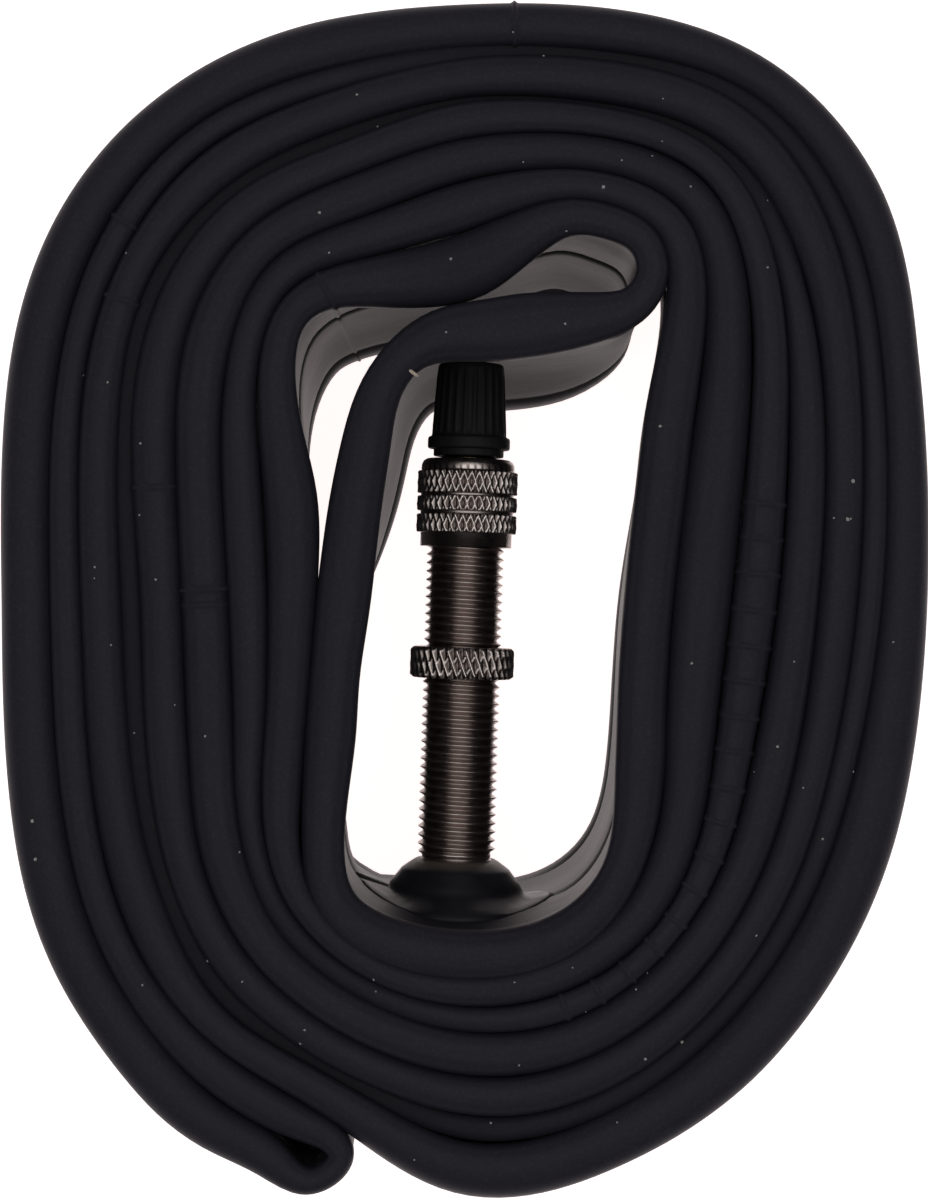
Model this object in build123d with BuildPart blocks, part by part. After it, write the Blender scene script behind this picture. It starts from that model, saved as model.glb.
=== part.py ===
import os
from math import atan2, cos, hypot, pi, radians, sin, tan

from build123d import *

os.makedirs("parts", exist_ok=True)

# Frame: the roll lies flat, +Z up, and its underside is z = 0. The valve lies along +Y at half the
# roll's height, base at -Y and cap at +Y. The origin is the centre of the roll's underside.

# ---- flattened tube ----
tube_width = 40.0  # flat width of the collapsed tube, which is the roll's height
tube_wall = 0.85
tube_gap = 0.4  # what is left of the hollow between the two walls
tube_thick = 2 * tube_wall + tube_gap
edge_chamfer = 0.6  # on the two folded edges, which are pressed flat on top and underneath
roll_turn = 1.8  # the roll's long axis leans this much from the valve's axis
roll_cy = 0.55  # the point that the strand radii are measured from lies this far up the Y axis

# ---- valve stations, measured along +Y from the stem's shoulder ----
valve_y = -25.45  # the shoulder in the row frame
valve_z = tube_width / 2
stem_top = 37.0
stem_d = 7.8  # over the thread's crests
thread_pitch = 0.847  # 30 threads to the inch
thread_depth = 0.5
shoulder_d, shoulder_lo, shoulder_hi = 8.6, -0.3, 0.4
shank_d = 7.0
foot_d, foot_lo, foot_hi = 10.4, -3.5, -2.5
air_d = 3.0
well_d, well_lo, seat_hi = 5.6, 19.5, 21.0  # the wide upper bore and the cone it ends in
base_d, base_top_d, base_dome_d = 13.8, 11.4, 16.8
base_dome_v = -2.1
patch_d, patch_v = 20.0, -3.5  # the reinforcing patch's size and the height of its face
clear = 0.05  # radial running clearance

# ---- rim nut ----
rim_lo, rim_hi, rim_d = 18.2, 21.3, 10.4
rim_teeth = 36

# ---- union nut ----
union_lo, union_hi = 31.3, 40.0
union_bands = ((32.65, 34.5), (34.8, 36.3), (36.54, 38.8))
union_d, union_neck_d, union_groove_d, union_top_d = 10.0, 9.1, 9.4, 8.4
union_roof = 38.25
union_teeth = 40

# ---- valve core ----
collar_d, collar_hi = 6.5, 38.2
nozzle_d, nozzle_hi, nozzle_pitch, nozzle_depth = 5.2, 46.0, 1.058, 0.35
nozzle_bore = 2.4
core_d, core_lo = 5.2, 25.0
chamber_d, chamber_hi = 3.8, 36.0
plug_hi, plug_bore = 28.0, 1.3
seal_lo, seal_d = 21.2, 5.5
head_d, head_lo = 3.3, 34.8
pin_d, pin_lo, nose_d, nose_hi = 1.2, 27.0, 1.6, 38.0
spring_wire, spring_turns = 0.32, 6

# ---- dust cap ----
cap_lo, cap_hi = 40.3, 49.6
cap_lip_d, cap_flange_d, cap_d, cap_tip_d = 7.0, 8.2, 7.4, 6.5
cap_flange_lo, cap_flange_hi = 41.0, 42.3
cap_bore_hi = 47.2
cap_ribs = 24

stem_plane = Plane(origin=(0, valve_y, valve_z), x_dir=(1, 0, 0), z_dir=(0, 0, 1))
valve_axis = Axis((0, valve_y, valve_z), (0, 1, 0))

# The tube is folded double at the valve and both strands are wound round it together. Each row holds
# the radii of the strands met in one direction, from the middle outwards. Strand a leaves the valve's
# left side and turns back over the cap; strand b leaves the right side.
strand_radii = {
    0: (17.2, 22.1, 26.9, 31.0, 34.6, 37.4, 40.2),
    30: (21.2, 27.2, 32.6, 36.5, 40.2, 43.2, 46.0),
    45: (27.5, 34.5, 39.0, 42.2, 45.6, 48.7, 51.7),
    60: (39.7, 42.4, 45.1, 47.7, 50.1, 52.6, 55.0),
    75: (36.8, 39.6, 42.0, 44.4, 46.8, 49.3, 51.7, 54.1),
    90: (32.3, 36.2, 39.9, 42.6, 45.2, 47.6, 50.1, 52.6),
    105: (31.6, 34.9, 38.3, 41.3, 43.9, 46.6, 49.4, 52.5),
    120: (31.0, 34.2, 37.5, 40.7, 43.3, 46.0, 49.1, 52.2),
    135: (24.3, 29.1, 33.5, 37.3, 40.2, 43.2, 46.1, 49.4),
    150: (18.6, 23.8, 28.4, 32.8, 35.8, 38.8, 42.0, 45.2),
    180: (11.1, 16.1, 20.1, 24.0, 28.0, 31.0, 33.8, 36.8, 40.2),
    210: (13.9, 19.1, 22.9, 27.0, 31.5, 34.4, 37.3, 40.9, 44.6),
    225: (17.7, 23.8, 27.8, 31.5, 35.5, 38.5, 41.5, 45.2, 48.8),
    240: (25.9, 30.3, 33.4, 36.5, 39.7, 42.5, 45.4, 48.8, 52.7),
    255: (31.7, 34.2, 36.7, 39.2, 41.7, 44.2, 46.6),
    270: (32.6, 36.0, 38.7, 41.8, 45.5, 48.4, 51.9),
    285: (32.3, 35.6, 38.6, 41.8, 45.4, 48.2, 51.4),
    300: (29.1, 33.1, 36.2, 39.3, 42.7, 45.4, 48.7),
    315: (23.5, 28.5, 32.4, 35.9, 39.3, 42.2, 45.5),
    330: (19.5, 24.3, 28.7, 32.7, 36.4, 39.1, 42.5),
}
valve_seat = [(-6.8, -30.75), (8.6, -30.85)]  # straight run under the valve's base
over_the_cap = [
    (-10.4, 8.4),
    (-9.6, 14.3),
    (-8.8, 19.4),
    (-6.8, 23.6),
    (-3.2, 25.8),
    (5.3, 26.3),
    (11.7, 27.1),
    (14.9, 28.8),
    (15.9, 31.6),
    (14.7, 33.9),
    (12.0, 34.9),
]
far_fold = [
    (-21.3, -49.5),
    (-16.9, -51.8),
    (-12.7, -53.3),
    (-10.1, -52.5),
    (-9.8, -50.0),
    (-12.1, -47.9),
    (-15.7, -46.5),
]


def strand_point(angle, layer):
    """Plan point of a strand: angle counts on through whole turns, layer 0 is the one at the valve."""
    direction = angle % 360
    row = strand_radii[direction]
    first = (direction + 90) / 180 % 1
    if direction in (180, 210, 225, 240, 255, 75):
        first -= 1
    radius = row[round(layer - first)]
    turned = radians(direction + roll_turn)
    return (radius * cos(turned), roll_cy + radius * sin(turned))


def wound(start, stop, first_layer):
    """Points of one strand wound from start to stop degrees; the layer rises by one each half turn."""
    step = 15 if stop > start else -15
    return [
        strand_point(a, first_layer + (a - start) / 180)
        for a in range(start, stop + step, step)
        if a % 360 in strand_radii
    ]


def ring_points():
    """The closed centre line: right strand out, far fold, left strand in, over the cap, down to the valve."""
    right_strand = wound(-60, 1320, 1 / 6)
    left_strand = wound(75, 1320, -1 / 12)
    inner_left = wound(-180, -120, -1 / 2)
    points = valve_seat[1:] + right_strand + far_fold + left_strand[::-1] + over_the_cap[::-1]
    return points + inner_left + valve_seat[:1]


def corner_radii(points):
    """Largest even rounding of each corner that leaves a short straight run between neighbours."""
    radii = []
    for i, (x, y) in enumerate(points):
        x0, y0 = points[i - 1]
        x1, y1 = points[(i + 1) % len(points)]
        turn = abs((atan2(y1 - y, x1 - x) - atan2(y - y0, x - x0) + pi) % (2 * pi) - pi)
        reach = 0.46 * min(hypot(x - x0, y - y0), hypot(x1 - x, y1 - y))
        radii.append(min(reach / tan(turn / 2), 400.0))
    return radii


def rounded_outline(points, radii, side):
    """Start, middle and end of each corner's arc, with the outline moved sideways to its left."""
    arcs = []
    for i, (x, y) in enumerate(points):
        x0, y0 = points[i - 1]
        x1, y1 = points[(i + 1) % len(points)]
        heading = atan2(y - y0, x - x0)
        turn = (atan2(y1 - y, x1 - x) - heading + pi) % (2 * pi) - pi
        bend = 1 if turn > 0 else -1
        reach = radii[i] * tan(abs(turn) / 2)
        cx = x - reach * cos(heading) - bend * radii[i] * sin(heading)
        cy = y - reach * sin(heading) + bend * radii[i] * cos(heading)
        r = radii[i] - bend * side
        angles = (heading, heading + turn / 2, heading + turn)
        arcs.append([(cx + bend * r * sin(a), cy - bend * r * cos(a)) for a in angles])
    return arcs


def profile(points):
    """Closed profile of (radius, station) points beside the valve's axis, ready to revolve."""
    with BuildSketch(stem_plane) as sketch:
        with BuildLine():
            Polyline(*points, close=True)
        make_face()
    return sketch.sketch


def across(station):
    """Plane square to the valve's axis at a station, facing the cap."""
    return Plane(origin=(0, valve_y + station, valve_z), x_dir=(1, 0, 0), z_dir=(0, 1, 0))


def bore(radius, lo, hi):
    """Cut a round hole along the valve's axis between two stations."""
    with BuildSketch(across(lo)) as sketch:
        Circle(radius)
    extrude(sketch.sketch, amount=hi - lo, mode=Mode.SUBTRACT)


def grooves(radius, count, size, lo, hi):
    """Cut straight notches round a nut or cap, between two stations."""
    with BuildSketch(across(lo)) as sketch:
        with PolarLocations(radius, count):
            Rectangle(size, size, rotation=45)
    extrude(sketch.sketch, amount=hi - lo, mode=Mode.SUBTRACT)


def thread(radius, depth, pitch, lo, hi):
    """Points of a thread's crests and roots, as rings, from station lo up to hi."""
    turns = int((hi - lo) / pitch)
    points = []
    for k in range(turns):
        v = lo + k * pitch
        points += [(radius - 0.05, v), (radius, v + 0.06), (radius, v + 0.14)]
        points += [(radius - depth, v + 0.5 * pitch), (radius - depth, v + 0.6 * pitch)]
    return points + [(radius - 0.05, lo + turns * pitch), (radius - depth, hi)]


# ---- butyl tube: a closed ring, collapsed flat and wound up ----
plan = ring_points()
plan_radii = corner_radii(plan)
with BuildPart() as butyl_tube:
    for thickness, base, tall, how in (
        (tube_thick, 0, tube_width, Mode.ADD),
        (tube_gap, tube_wall, tube_width - 2 * tube_wall, Mode.SUBTRACT),
    ):
        with BuildSketch(Plane.XY.offset(base)):
            for side, fill in ((-thickness / 2, Mode.ADD), (thickness / 2, Mode.SUBTRACT)):
                with BuildLine():
                    corners = rounded_outline(plan, plan_radii, side)
                    for i, (a, b, c) in enumerate(corners):
                        ThreePointArc(a, b, c)
                        Line(c, corners[(i + 1) % len(corners)][0])
                make_face(mode=fill)
        extrude(amount=tall, mode=how)
        if how == Mode.ADD:
            ends = butyl_tube.faces().sort_by(Axis.Z)
            chamfer(ends[-1].edges() + ends[0].edges(), edge_chamfer)
    hole_lo = (valve_seat[0][1] + valve_seat[1][1]) / 2 - valve_y
    bore(air_d / 2, hole_lo, hole_lo + tube_thick)
butyl_tube.part.label = "butyl_tube"

# ---- rubber base: patch and dome moulded round the stem's foot, fitted to the tube's wall ----
foot_outline = [
    (0, foot_lo),
    (foot_d / 2, foot_lo),
    (foot_d / 2, foot_hi),
    (shank_d / 2, foot_hi),
    (shank_d / 2, shoulder_lo),
]
wall_side = rounded_outline(plan, plan_radii, tube_thick / 2)
near_valve = wall_side[-4:] + wall_side[:3]
with BuildPart() as valve_base:
    dome_outline = [
        (0, patch_v - 3),
        (patch_d / 2, patch_v - 3),
        (patch_d / 2, patch_v - 0.4),
        (patch_d / 2 - 0.6, patch_v),
        (base_dome_d / 2, patch_v + 0.3),
        (base_d / 2, base_dome_v),
        (base_top_d / 2, shoulder_lo),
        (0, shoulder_lo),
    ]
    revolve(profile(dome_outline), axis=valve_axis)
    with BuildSketch():
        with BuildLine():
            for i, (a, b, c) in enumerate(near_valve):
                ThreePointArc(a, b, c)
                if i + 1 < len(near_valve):
                    Line(c, near_valve[i + 1][0])
            start = near_valve[0][0]
            far = tube_width
            Polyline(c, (far, c[1]), (far, -far), (-far, -far), (-far, start[1]), start)
        make_face()
    extrude(amount=tube_width, mode=Mode.SUBTRACT)
    revolve(profile(foot_outline + [(0, shoulder_lo)]), axis=valve_axis, mode=Mode.SUBTRACT)
    bore(air_d / 2, patch_v - 3, foot_lo)
valve_base.part.label = "valve_base"

# ---- stem: foot flange, shank, shoulder and threaded barrel with the core's well ----
root_r = stem_d / 2 - thread_depth
with BuildPart() as valve_stem:
    shoulder = [(shoulder_d / 2, shoulder_lo), (shoulder_d / 2, shoulder_hi), (root_r, shoulder_hi)]
    barrel = thread(stem_d / 2, thread_depth, thread_pitch, 0.8, stem_top - 0.3)
    outline = foot_outline + shoulder + barrel + [(root_r, stem_top), (0, stem_top)]
    revolve(profile(outline), axis=valve_axis)
    inside = [
        (0, foot_lo),
        (air_d / 2, foot_lo),
        (air_d / 2, well_lo),
        (well_d / 2, seat_hi),
        (well_d / 2, stem_top),
        (0, stem_top),
    ]
    revolve(profile(inside), axis=valve_axis, mode=Mode.SUBTRACT)
valve_stem.part.label = "valve_stem"

# ---- rim nut: thin ring, knurled round its edge ----
with BuildPart() as rim_nut:
    bevel = 0.35
    revolve(
        profile(
            [
                (stem_d / 2 + clear, rim_lo),
                (rim_d / 2 - bevel, rim_lo),
                (rim_d / 2, rim_lo + bevel),
                (rim_d / 2, rim_hi - bevel),
                (rim_d / 2 - bevel, rim_hi),
                (stem_d / 2 + clear, rim_hi),
            ]
        ),
        axis=valve_axis,
    )
    grooves(rim_d / 2, rim_teeth, 0.45, rim_lo, rim_hi)
rim_nut.part.label = "rim_nut"

# ---- union nut: three knurled bands over a neck, closed by a roof that presses on the core's collar ----
with BuildPart() as union_nut:
    outer = [(stem_d / 2 + clear, union_lo), (union_neck_d / 2, union_lo)]
    for lo, hi in union_bands:
        outer += [
            (union_groove_d / 2, lo),
            (union_d / 2 - 0.1, lo),
            (union_d / 2, lo + 0.2),
            (union_d / 2, hi - 0.2),
            (union_d / 2 - 0.1, hi),
            (union_groove_d / 2, hi),
        ]
    outer[2] = (union_neck_d / 2, union_bands[0][0])
    revolve(
        profile(
            outer
            + [
                (union_top_d / 2 + 0.5, union_bands[-1][1] + 0.2),
                (union_top_d / 2, union_hi),
                (nozzle_d / 2 + clear, union_hi),
                (nozzle_d / 2 + clear, union_roof),
                (stem_d / 2 + clear, union_roof),
            ]
        ),
        axis=valve_axis,
    )
    grooves(union_d / 2, union_teeth, 0.38, union_bands[0][0], union_bands[-1][1])
union_nut.part.label = "union_nut"

# ---- core: collar on the stem's mouth, threaded nozzle above it, barrel below it ----
with BuildPart() as core_body:
    nozzle_root = nozzle_d / 2 - nozzle_depth
    revolve(
        profile(
            [
                (nozzle_bore / 2, nozzle_hi),
                (nozzle_bore / 2, chamber_hi + 1),
                (nose_d / 2 + clear, chamber_hi + 1),
                (nose_d / 2 + clear, chamber_hi),
                (chamber_d / 2, chamber_hi),
                (chamber_d / 2, core_lo),
                (core_d / 2, core_lo),
                (core_d / 2, stem_top),
                (collar_d / 2, stem_top),
                (collar_d / 2, collar_hi),
                (nozzle_d / 2, collar_hi),
                (nozzle_d / 2, union_hi + 0.1),
                (nozzle_root, union_hi + 0.4),
            ]
            + thread(nozzle_d / 2, nozzle_depth, nozzle_pitch, union_hi + 0.6, nozzle_hi - 0.2)
            + [(nozzle_root, nozzle_hi)]
        ),
        axis=valve_axis,
    )
core_body.part.label = "core_body"

# ---- core plug: guide pressed into the barrel's lower end, necked for the seal ----
with BuildPart() as core_plug:
    revolve(
        profile(
            [
                (plug_bore / 2, seal_lo),
                (1.7, seal_lo),
                (1.7, core_lo - 0.6),
                (core_d / 2, core_lo - 0.6),
                (core_d / 2, core_lo),
                (chamber_d / 2, core_lo),
                (chamber_d / 2, plug_hi),
                (plug_bore / 2, plug_hi),
            ]
        ),
        axis=valve_axis,
    )
core_plug.part.label = "core_plug"

# ---- core seal: rubber sleeve that closes the gap between the core and the stem's well ----
with BuildPart() as core_seal:
    revolve(
        profile(
            [
                (1.7, seal_lo + 0.2),
                (seal_d / 2 - 0.4, seal_lo + 0.2),
                (seal_d / 2, seal_lo + 0.7),
                (seal_d / 2, core_lo - 1.1),
                (seal_d / 2 - 0.4, core_lo - 0.6),
                (1.7, core_lo - 0.6),
            ]
        ),
        axis=valve_axis,
    )
core_seal.part.label = "core_seal"

# ---- check plunger: head that closes the nozzle from below, nose, and guide pin ----
with BuildPart() as check_plunger:
    revolve(
        profile(
            [
                (0, pin_lo),
                (pin_d / 2, pin_lo),
                (pin_d / 2, head_lo),
                (head_d / 2, head_lo),
                (head_d / 2, chamber_hi - 0.3),
                (nose_d / 2, chamber_hi - 0.05),
                (nose_d / 2, nose_hi - 0.5),
                (nose_d / 2 - 0.4, nose_hi),
                (0, nose_hi),
            ]
        ),
        axis=valve_axis,
    )
check_plunger.part.label = "check_plunger"

# ---- check spring: open coil between the plug and the plunger's head ----
with BuildPart() as check_spring:
    coil_r = (pin_d + head_d) / 4 + 0.1
    coil_lo = plug_hi + spring_wire / 2 + 0.02
    coil_tall = head_lo - plug_hi - spring_wire - 0.04
    coil_start = (0, valve_y + coil_lo, valve_z)
    with BuildLine() as coil:
        Helix(coil_tall / spring_turns, coil_tall, coil_r, center=coil_start, direction=(0, 1, 0))
    with BuildSketch(Plane(origin=coil.line @ 0, z_dir=coil.line % 0)):
        Circle(spring_wire / 2)
    sweep(is_frenet=True)
check_spring.part.label = "check_spring"

# ---- dust cap: lip, flange and tapered ribbed body, hollow over the nozzle ----
with BuildPart() as dust_cap:
    bore_r = nozzle_d / 2 + clear
    revolve(
        profile(
            [
                (bore_r, cap_lo),
                (cap_lip_d / 2, cap_lo),
                (cap_lip_d / 2, cap_flange_lo),
                (cap_flange_d / 2, cap_flange_lo + 0.2),
                (cap_flange_d / 2, cap_flange_hi - 0.2),
                (cap_d / 2, cap_flange_hi),
                (cap_tip_d / 2, cap_hi - 0.9),
                (cap_tip_d / 2 - 0.9, cap_hi),
                (0, cap_hi),
                (0, cap_bore_hi),
                (bore_r, cap_bore_hi),
            ]
        ),
        axis=valve_axis,
    )
    grooves(cap_tip_d / 2 + 0.4, cap_ribs, 0.45, cap_flange_hi, cap_hi - 1.2)
dust_cap.part.label = "dust_cap"

for built in (
    butyl_tube,
    valve_base,
    valve_stem,
    rim_nut,
    union_nut,
    core_body,
    core_plug,
    core_seal,
    check_plunger,
    check_spring,
    dust_cap,
):
    export_step(built.part, f"parts/{built.part.label}.step")
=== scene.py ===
from math import cos, pi, radians, sin

import bpy
import numpy as np
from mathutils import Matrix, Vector
from mathutils.bvhtree import BVHTree


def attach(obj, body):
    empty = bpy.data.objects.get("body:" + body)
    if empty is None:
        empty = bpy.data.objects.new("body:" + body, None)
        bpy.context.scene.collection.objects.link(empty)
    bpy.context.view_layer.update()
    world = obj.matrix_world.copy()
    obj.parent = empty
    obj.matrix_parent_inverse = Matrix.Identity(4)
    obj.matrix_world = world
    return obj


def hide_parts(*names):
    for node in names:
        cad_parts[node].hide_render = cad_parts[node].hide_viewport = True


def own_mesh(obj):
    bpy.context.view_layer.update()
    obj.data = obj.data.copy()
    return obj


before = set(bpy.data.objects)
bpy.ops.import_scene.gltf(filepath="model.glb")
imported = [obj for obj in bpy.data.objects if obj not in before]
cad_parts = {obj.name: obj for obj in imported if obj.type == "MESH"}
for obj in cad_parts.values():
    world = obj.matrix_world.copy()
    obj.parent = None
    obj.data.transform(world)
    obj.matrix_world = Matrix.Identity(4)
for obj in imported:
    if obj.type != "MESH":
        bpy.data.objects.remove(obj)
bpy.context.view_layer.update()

MM = 0.001
rng = np.random.default_rng(7)

# ---- the row frame, in mm as in the CAD part ----
TUBE_WIDTH = 40.0
WEB_HALF = 1.02  # half the thickness of the two walls lying on each other
ROLL_TURN, ROLL_CY = 1.8, 0.55
VALVE_Y, VALVE_Z = -25.45, 20.0

# Radii of the strands' middles, from the valve's window outwards, in each direction.
STRAND_RADII = {
    0: (17.2, 22.1, 26.9, 31.0, 34.6, 37.4, 40.2),
    30: (21.2, 27.2, 32.6, 36.5, 40.2, 43.2, 46.0),
    45: (27.5, 34.5, 39.0, 42.2, 45.6, 48.7, 51.7),
    60: (39.7, 42.4, 45.1, 47.7, 50.1, 52.6, 55.0),
    75: (36.8, 39.6, 42.0, 44.4, 46.8, 49.3, 51.7, 54.1),
    90: (32.3, 36.2, 39.9, 42.6, 45.2, 47.6, 50.1, 52.6),
    105: (31.6, 34.9, 38.3, 41.3, 43.9, 46.6, 49.4, 52.5),
    120: (31.0, 34.2, 37.5, 40.7, 43.3, 46.0, 49.1, 52.2),
    135: (24.3, 29.1, 33.5, 37.3, 40.2, 43.2, 46.1, 49.4),
    150: (18.6, 23.8, 28.4, 32.8, 35.8, 38.8, 42.0, 45.2),
    180: (11.1, 16.1, 20.1, 24.0, 28.0, 31.0, 33.8, 36.8, 40.2),
    210: (13.9, 19.1, 22.9, 27.0, 31.5, 34.4, 37.3, 40.9, 44.6),
    225: (17.7, 23.8, 27.8, 31.5, 35.5, 38.5, 41.5, 45.2, 48.8),
    240: (25.9, 30.3, 33.4, 36.5, 39.7, 42.5, 45.4, 48.8, 52.7),
    255: (31.7, 34.2, 36.7, 39.2, 41.7, 44.2, 46.6),
    270: (32.6, 36.0, 38.7, 41.8, 45.5, 48.4, 51.9),
    285: (32.3, 35.6, 38.6, 41.8, 45.4, 48.2, 51.4),
    300: (29.1, 33.1, 36.2, 39.3, 42.7, 45.4, 48.7),
    315: (23.5, 28.5, 32.4, 35.9, 39.3, 42.2, 45.5),
    330: (19.5, 24.3, 28.7, 32.7, 36.4, 39.1, 42.5),
}
# Radii where one bead of the upper edge meets the next: one more than there are strands.
BEAD_RADII = {
    0: (14.9, 19.4, 24.7, 29.1, 32.7, 36.5, 38.4, 42.8),
    30: (18.2, 24.0, 30.4, 34.7, 38.3, 42.2, 44.4, 48.2),
    45: (23.6, 31.5, 37.6, 41.3, 43.9, 48.2, 50.1, 54.4),
    60: (37.2, 40.9, 44.6, 47.3, 48.3, 52.3, 53.7, 57.2),
    75: (35.0, 38.3, 41.2, 44.5, 47.2, 47.7, 51.6, 52.4, 56.5),
    90: (27.6, 34.2, 38.9, 42.7, 46.0, 46.6, 50.1, 51.0, 55.1),
    105: (28.2, 32.9, 36.6, 40.6, 43.6, 45.0, 48.6, 50.5, 55.2),
    120: (29.6, 32.7, 36.0, 39.5, 42.9, 44.0, 47.9, 50.3, 54.5),
    135: (21.3, 27.2, 31.0, 35.9, 39.9, 41.5, 44.7, 47.5, 52.2),
    150: (15.5, 21.7, 26.1, 30.7, 35.5, 36.7, 40.5, 43.1, 48.1),
    180: (8.7, 13.7, 18.2, 21.8, 26.1, 29.9, 31.8, 35.4, 38.2, 42.7),
    210: (11.1, 16.6, 21.2, 24.6, 29.3, 33.5, 35.2, 39.3, 42.4, 47.5),
    225: (13.9, 21.1, 26.6, 29.5, 34.3, 38.0, 39.3, 43.7, 46.8, 51.8),
    240: (22.6, 29.5, 32.7, 34.9, 38.6, 42.2, 43.9, 46.9, 50.7, 55.7),
    255: (30.1, 33.6, 36.0, 38.0, 41.8, 45.3, 45.8, 49.3, 51.6, 56.1),
    270: (30.4, 34.5, 37.5, 39.8, 43.8, 47.4, 49.9, 54.8),
    285: (30.7, 33.9, 37.3, 39.9, 43.8, 47.2, 49.3, 54.3),
    300: (26.9, 31.1, 35.1, 37.4, 41.3, 44.4, 46.5, 52.0),
    315: (19.9, 26.1, 30.8, 34.0, 37.9, 41.0, 43.3, 48.7),
    330: (16.4, 21.6, 26.8, 30.6, 34.8, 38.0, 40.3, 45.7),
}
# How far an edge has sunk between its neighbours: (direction, place in the row) -> mm.
SUNK = {
    (90, 0): 0.8, (105, 0): 0.3,
    (60, 3): 1.4, (75, 4): 1.8, (90, 4): 1.8, (105, 4): 1.4, (120, 4): 1.4, (135, 4): 1.2,
    (150, 4): 1.3, (180, 5): 1.0, (210, 5): 1.0, (225, 5): 1.3, (240, 5): 1.3, (255, 5): 1.7,
    (270, 5): 0.9, (285, 5): 0.9, (300, 5): 0.8, (315, 5): 0.6, (330, 5): 0.3, (30, 5): 0.2,
    (45, 5): 0.4, (60, 5): 0.7, (75, 6): 1.3, (90, 6): 1.1, (105, 6): 0.5, (120, 6): 0.3,
    (45, 3): 0.4, (255, 2): 0.4, (240, 2): 0.3,
}  # fmt: skip
# The runs that don't follow the rows. Each entry is the web's middle, the upper bead's middle, half
# the bead's width, and how far the lower edge swings to the web's left.
VALVE_SEAT = [
    ((-10.9, -27.6), (-11.15, -27.95), 2.0, -1.7),
    ((-6.8, -30.65), (-6.9, -31.2), 2.35, 1.4),
    ((8.6, -30.6), (8.5, -31.2), 2.35, 1.1),
]
OVER_THE_CAP = [
    ((-10.4, 8.4), (-10.4, 8.45), 2.42, 2.0),
    ((-9.6, 14.3), (-9.65, 14.3), 2.33, 1.8),
    ((-8.8, 19.4), (-8.6, 19.3), 1.98, 2.0),
    ((-6.8, 23.6), (-6.05, 22.9), 1.8, 3.3),
    ((-3.2, 25.8), (-2.9, 24.85), 2.5, 4.1),
    ((1.0, 26.1), (1.1, 25.6), 2.85, 4.3),
    ((5.3, 26.4), (5.4, 26.2), 3.05, 4.3),
    ((11.7, 27.2), (11.85, 27.3), 2.25, 3.8),
    ((15.1, 28.8), (15.2, 28.7), 1.42, 1.1),
    ((16.2, 31.8), (16.5, 31.7), 1.36, -2.2),
    ((14.8, 34.4), (15.0, 34.7), 1.45, -2.4),
    ((12.2, 35.6), (12.3, 36.05), 1.47, -2.1),
]
FAR_FOLD = [
    ((-21.2, -48.9), (-21.3, -48.9), 2.2, 0.0),
    ((-16.6, -51.3), (-16.5, -51.4), 2.05, 0.0),
    ((-12.8, -53.3), (-12.7, -53.6), 1.05, 0.0),
    ((-10.5, -52.3), (-10.5, -52.4), 1.1, 0.0),
    ((-9.85, -51.0), (-9.85, -51.0), 1.2, 0.0),
    ((-10.7, -49.6), (-10.55, -49.6), 1.3, 0.0),
    ((-12.3, -48.7), (-12.2, -48.7), 1.5, 0.0),
    ((-15.7, -47.1), (-15.5, -47.4), 1.95, 0.0),
]
# How far a strand's lower edge lies outside its middle: (direction, place in the row) -> mm.
SWUNG = {
    (0, 0): 0.4, (30, 0): 0.9, (45, 0): 1.6, (60, 0): 1.6, (75, 0): -1.8, (90, 0): -2.2,
    (105, 0): -3.0, (120, 0): -2.4, (135, 0): 0.6, (150, 0): 1.8, (180, 0): 1.2, (210, 0): 1.7,
    (225, 0): 2.2, (240, 0): 2.4, (300, 0): -0.3, (330, 0): 0.2, (135, 1): 0.9, (150, 1): 1.1,
    (180, 1): 1.6, (210, 1): 1.6, (225, 1): 1.0, (45, 1): 0.8, (60, 1): 0.7, (180, 2): 1.2,
}  # fmt: skip
# Where a strand's side is pressed out below its bead: run, running angle -> mm to the run's right.
PRESSED = {
    ("left", 75): 0.2, ("left", 90): 0.8, ("left", 105): 0.5, ("right", 975): 2.2,
    ("right", 990): 1.8,
}  # fmt: skip
# Directions whose row has one more strand on its inside than its place in the spiral gives.
EXTRA_INSIDE = (75, 180, 210, 225, 240, 255)
# The moulded cross ribs: an even row of them on one stretch of the tube, then single ones as
# (run, running angle, height, whether it goes down the wall).
ROW_FROM, ROW_TO, ROW_GAP, ROW_HEIGHT = 284, 383, 3.3, 0.2
SINGLE_RIBS = (
    ("left", 114, 0.2, True), ("right", 521, 0.24, False), ("right", 859, 0.24, False),
    ("right", 1165, 0.22, False), ("left", 538, 0.36, False), ("left", 541, 0.18, False),
    ("left", 1212, 0.26, False),
)  # fmt: skip

# ---- small tools ----


def smooth(x):
    """Smooth step from 0 at 0 to 1 at 1."""
    x = np.clip(x, 0.0, 1.0)
    return x * x * (3 - 2 * x)


def add_mesh(name, points, faces):
    """Smooth shaded mesh object from points in mm and faces as index tuples."""
    mesh = bpy.data.meshes.new(name)
    mesh.from_pydata((np.asarray(points, float) * MM).tolist(), [], faces)
    mesh.polygons.foreach_set("use_smooth", [True] * len(mesh.polygons))
    mesh.update()
    obj = bpy.data.objects.new(name, mesh)
    bpy.context.scene.collection.objects.link(obj)
    return obj


def add_attribute(obj, name, values):
    """One number for each vertex, which a material reads by name."""
    layer = obj.data.attributes.new(name, "FLOAT", "POINT")
    layer.data.foreach_set("value", np.asarray(values, np.float32).ravel())


def ring_faces(rows, cols, close_rows):
    """Quads of a grid whose columns close on themselves, and whose rows may."""
    faces = []
    for i in range(rows if close_rows else rows - 1):
        a, b = i * cols, (i + 1) % rows * cols
        for j in range(cols):
            k = (j + 1) % cols
            faces.append((a + j, a + k, b + k, b + j))
    return faces


# ---- node materials ----


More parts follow.
